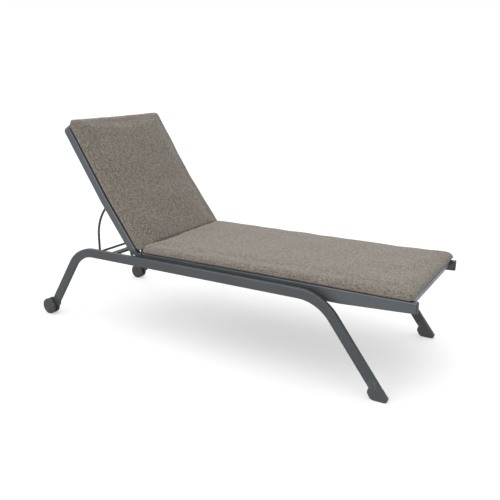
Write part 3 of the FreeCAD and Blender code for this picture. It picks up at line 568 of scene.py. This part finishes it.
# Of each pad: the seam's height, the radius of its corners, how far its sides pull in, how far its
# shoulders reach in, how blunt its foot is, and how much further in its underside starts there.
SEAT_FORM = {
    "seam": 0.011, "corner": 0.014, "pull": 0.003, "shoulder": 0.034, "blunt_foot": 0.3, "slant": 0.0,
}
BACK_FORM = {
    "seam": 0.031, "corner": 0.016, "pull": 0.003, "shoulder": 0.027, "blunt_foot": 0.3, "slant": 0.028,
}
SEAT_THICK, BACK_THICK = 0.037, 0.057
SEAT_SWELL, BACK_SWELL = 0.008, 0.010           # most that each may swell
SEAT_SIZE = (SEAT_HIGH.x - SEAT_LOW.x, SEAT_HIGH.y, SEAT_THICK)
BACK_SIZE = (BACK_END - BACK_START, BACK_HIGH.y, BACK_THICK)
cushion("seat_cushion_pad", "seat_cushion", "frame", SEAT_SIZE, SEAT_FORM, on_seat, SEAT_SWELL)
cushion("back_cushion_pad", "back_cushion", "back", BACK_SIZE, BACK_FORM, on_back_front, BACK_SWELL)


# ---- slings -------------------------------------------------------------------------------

SHEET_COLUMNS, FEWEST_ROWS = 24, 12
ROW_LENGTH = 0.03
HALF_SHEET = 0.0011 / 2              # half of a sheet's thickness
SLING_SAG = 0.003
SLING_FOOT, SLING_HEAD, SLING_RISE = 0.040, 0.660, 0.012    # of the back's sling, along the back
seat_sling_low, seat_sling_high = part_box("seat_sling")
seat_sling_length = seat_sling_high[0] - seat_sling_low[0]
seat_sling_z = (seat_sling_low[2] + seat_sling_high[2]) / 2


def thin_sheet(name, half, length, place, sag, material):
    """A sheet with two faces and an edge, from its own layout of run, place across and height."""
    columns, rows = SHEET_COLUMNS, max(int(length / ROW_LENGTH), FEWEST_ROWS)
    bm = bmesh.new()
    layer = bm.loops.layers.uv.new("cloth")
    grid = []
    for i in range(rows + 1):
        u = length * i / rows
        grid.append([])
        for j in range(columns + 1):
            v = -half + 2 * half * j / columns
            dip = sag * (1 - (v / half) ** 2) * math.sin(math.pi * i / rows) ** 0.5
            grid[-1].append((u, v, dip))
    tops = [[bm.verts.new(place(u, v, HALF_SHEET - dip)) for u, v, dip in row] for row in grid]
    bottoms = [[bm.verts.new(place(u, v, -HALF_SHEET - dip)) for u, v, dip in row] for row in grid]
    for i in range(rows):
        for j in range(columns):
            for sheet, order in ((tops, ((0, 0), (1, 0), (1, 1), (0, 1))),
                                 (bottoms, ((0, 0), (0, 1), (1, 1), (1, 0)))):
                face = bm.faces.new([sheet[i + a][j + b] for a, b in order])
                for loop, (a, b) in zip(face.loops, order):
                    loop[layer].uv = grid[i + a][j + b][:2]
    for i in range(rows):
        for j in (0, columns):
            bm.faces.new((tops[i][j], tops[i + 1][j], bottoms[i + 1][j], bottoms[i][j]))
    for j in range(columns):
        for i in (0, rows):
            bm.faces.new((tops[i][j], tops[i][j + 1], bottoms[i][j + 1], bottoms[i][j]))
    return object_from(bm, name, material)


def sling(name, node, body, length, place):
    """A stretched sheet between the rails, a hair slack in its middle."""
    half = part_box(node)[1][1]
    piece = thin_sheet(name, half, length, place, SLING_SAG, sling_cloth)
    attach(piece, body)
    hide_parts(node)


def on_seat_sling(u, v, w):
    return Vector((seat_sling_low[0] + u, v, seat_sling_z + w))


def on_back_sling(u, v, w):
    return on_back(SLING_FOOT + u, v, SLING_RISE + w)


sling("seat_sling_cloth", "seat_sling", "frame", seat_sling_length, on_seat_sling)
sling("back_sling_cloth", "back_sling", "back", SLING_HEAD - SLING_FOOT, on_back_sling)


# ---- the cloth that joins the two cushions -------------------------------------------------

FOLD_HALF = 0.270                    # clear of the hinge forks
FOLD_SAG = 0.0185
FOLD_FROM = Vector((SEAT_LOW.x + 0.002, 0.0, SEAT_LOW.z - 0.0004))    # just under the seat cushion's edge
FOLD_TO = on_back(0.0175, 0.0, BACK_RISE - 0.0086)                    # just under the back cushion's
FOLD_SPAN = FOLD_TO - FOLD_FROM
FOLD_DIP = FOLD_SAG / FOLD_SPAN.length
FOLD_LENGTH = FOLD_SPAN.length * (1 + 8 / 3 * FOLD_DIP ** 2 - 32 / 5 * FOLD_DIP ** 4)    # of a parabola


def on_fold(u, v, w):
    """A slack strip under the crease."""
    share = u / FOLD_LENGTH
    return FOLD_FROM + FOLD_SPAN * share + Vector((0, v, w - 4 * FOLD_SAG * share * (1 - share)))


fold = thin_sheet("cushion_fold", FOLD_HALF, FOLD_LENGTH, on_fold, 0.0, cushion_cloth)
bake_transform(fold)


# ---- floor, light and camera --------------------------------------------------------------

FLOOR_HALF = 30.0
FLOOR_DARK, FLOOR_PALE = (0.34, 0.34, 0.34), (0.36, 0.36, 0.36)
FLOOR_GLOW = 0.45
DIM_SIDE = 0.75                      # the studio is darker beyond the foot end
DIM_REACH = 0.5
SKY_LEVELS = ((0.0, 1.0), (0.12, 1.0), (0.30, 0.9), (0.5, 1.6), (1.0, 3.2))    # height, brightness
CAMERA_PLACE = (1.4492, -2.3118, 1.1555)
CAMERA_YAW = math.radians(120.627)
CAMERA_PITCH = math.radians(-15.796)
FILM_WIDTH, LENS = 36.0, 43.02


def add_object(name, data):
    piece = bpy.data.objects.new(name, data)
    bpy.context.collection.objects.link(piece)
    return piece


def aim(piece, place, direction):
    piece.location = place
    piece.rotation_mode = "QUATERNION"
    piece.rotation_quaternion = direction.to_track_quat("-Z", "Y")


def pale_floor():
    """A wide matt floor, lit from within enough to stay as pale as the sky."""
    mesh = bpy.data.meshes.new("floor")
    corners = [(-FLOOR_HALF, -FLOOR_HALF, 0), (FLOOR_HALF, -FLOOR_HALF, 0),
               (FLOOR_HALF, FLOOR_HALF, 0), (-FLOOR_HALF, FLOOR_HALF, 0)]
    mesh.from_pydata(corners, [], [(0, 1, 2, 3)])
    m = Nodes("pale_floor")
    tone = m.blend(m.spread(m.noise(0.8, 2.0), 0.3, 0.7), FLOOR_DARK, FLOOR_PALE)
    rough = m.spread(m.noise(3.0, 2.0), 0.3, 0.7, 0.85, 0.95)
    grain = m.bump(m.noise(40.0, 2.0), 0.02, 0.001)
    mesh.materials.append(m.finish(tone, rough, grain, Specular_IOR_Level=0.0, Emission_Strength=FLOOR_GLOW,
                                   Emission_Color=(1.0, 1.0, 1.0, 1.0)))
    return add_object("floor", mesh)


def studio_sky():
    """A white studio: brighter overhead, and a little darker beyond the foot end."""
    world = bpy.data.worlds.new("studio")
    world.use_nodes = True
    bpy.context.scene.world = world
    sky = world.node_tree
    way = sky.nodes.new("ShaderNodeSeparateXYZ")
    sky.links.new(sky.nodes.new("ShaderNodeTexCoord").outputs["Generated"], way.inputs[0])
    ramp = sky.nodes.new("ShaderNodeValToRGB")
    while len(ramp.color_ramp.elements) < len(SKY_LEVELS):
        ramp.color_ramp.elements.new(0.5)
    for element, (height, level) in zip(ramp.color_ramp.elements, SKY_LEVELS):
        element.position = height
        element.color = (level, level, level, 1.0)
    sky.links.new(way.outputs["Z"], ramp.inputs[0])
    side = sky.nodes.new("ShaderNodeMapRange")
    for key, value in (("From Min", 0.0), ("From Max", DIM_REACH), ("To Min", 1.0), ("To Max", DIM_SIDE)):
        side.inputs[key].default_value = value
    sky.links.new(way.outputs["X"], side.inputs["Value"])
    dimmed = sky.nodes.new("ShaderNodeVectorMath")
    dimmed.operation = "SCALE"
    sky.links.new(ramp.outputs[0], dimmed.inputs[0])
    sky.links.new(side.outputs[0], dimmed.inputs["Scale"])
    sky.links.new(dimmed.outputs[0], sky.nodes["Background"].inputs[0])
    sky.nodes["Background"].inputs[1].default_value = 1.0


def area_light(name, place, target, size, power):
    lamp = bpy.data.lights.new(name, "AREA")
    lamp.shape = "DISK"
    lamp.size = size
    lamp.energy = power
    aim(add_object(name, lamp), place, Vector(target) - Vector(place))


pale_floor()
studio_sky()
area_light("top_softbox", place=(0.1, -0.3, 3.4), target=(0.1, 0.0, 0.4), size=2.5, power=10.0)
area_light("side_softbox", place=(-0.2, -3.4, 1.3), target=(-0.1, 0.0, 0.4), size=1.8, power=52.0)

film = bpy.data.cameras.new("camera")
film.sensor_width = FILM_WIDTH
film.lens = LENS
camera = add_object("camera", film)
level_share = math.cos(CAMERA_PITCH)
aim(camera, CAMERA_PLACE, Vector((math.cos(CAMERA_YAW) * level_share, math.sin(CAMERA_YAW) * level_share,
                                  math.sin(CAMERA_PITCH))))
bpy.context.scene.camera = camera
bpy.context.scene.view_settings.view_transform = "Standard"
